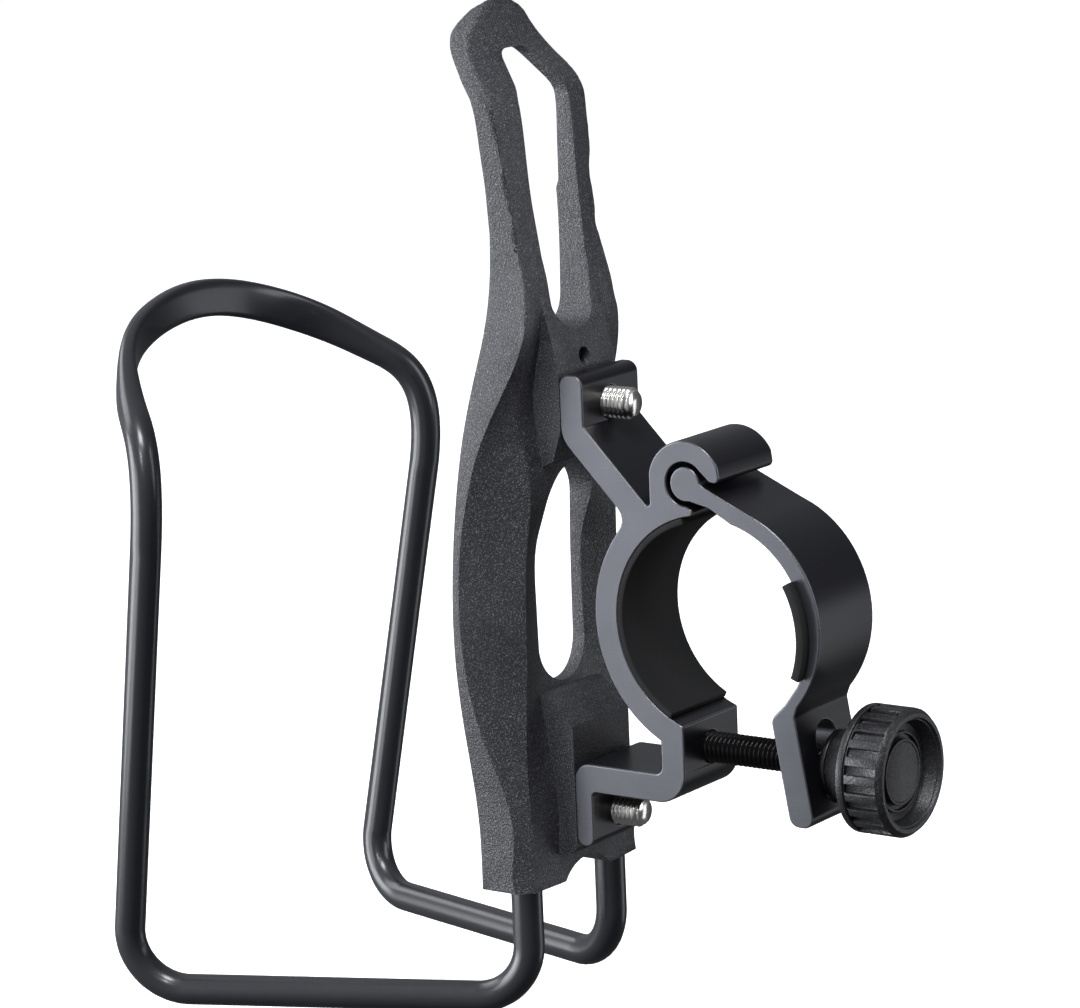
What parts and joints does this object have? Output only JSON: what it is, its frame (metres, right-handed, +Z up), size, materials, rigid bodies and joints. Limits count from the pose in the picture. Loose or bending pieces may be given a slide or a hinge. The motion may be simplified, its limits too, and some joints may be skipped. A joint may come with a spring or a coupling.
{
  "type": "handlebar bottle cage",
  "caption": "Bottle cage with a moulded back, a bent wire loop and a hinged clamp that a thumb screw closes round a handlebar.",
  "frame": {"origin": "on the axis of the handlebar that the clamp closes on, in the middle of the clamp's width", "axes": "+X along the handlebar, +Y from the handlebar to the bottle, +Z up along the bottle"},
  "size_m": [0.0768, 0.1342, 0.158],
  "materials": {
    "spine_nylon": "textured matte",
    "wire_paint": "satin gloss",
    "anodised": "black anodised satin",
    "pad_rubber": "matte",
    "stainless": "bright",
    "black_oxide": "black oxide",
    "knob_plastic": "satin"
  },
  "bodies": {
    "cage": {"cage_spine": "spine_nylon", "wire_loop": "wire_paint", "bar_bracket": "anodised", "saddle_pad": "pad_rubber", "cage_bolt_upper": "stainless", "cage_bolt_lower": "stainless", "cage_washer_upper": "stainless", "cage_washer_lower": "stainless"},
    "strap": {"clamp_strap": "anodised", "strap_pad": "pad_rubber"},
    "carriage": {"thrust_washer": "black_oxide"},
    "knob": {"thumb_knob": "knob_plastic", "knob_cap": "knob_plastic", "clamp_screw": "black_oxide"}
  },
  "joints": [
    {"name": "screw_travel", "type": "slide", "parent": "cage", "child": "carriage", "axis": [0, -1, 0], "range_m": [0, 0.0064]},
    {"name": "knob_spin", "type": "hinge", "parent": "carriage", "child": "knob", "pos_m": [0, -0.022, -0.02067], "axis": [0, -1, 0], "range_deg": [0, 2880]},
    {"name": "strap_hinge", "type": "hinge", "parent": "cage", "child": "strap", "pos_m": [0, 0.00385, 0.02145], "axis": [-1, 0, 0], "range_deg": [0, 7]}
  ],
  "couplings": [
    {"joint": "screw_travel", "follows": "knob_spin", "m_per_rad": 0.00012732},
    {"joint": "strap_hinge", "follows": "knob_spin", "ratio": 0.00242}
  ]
}
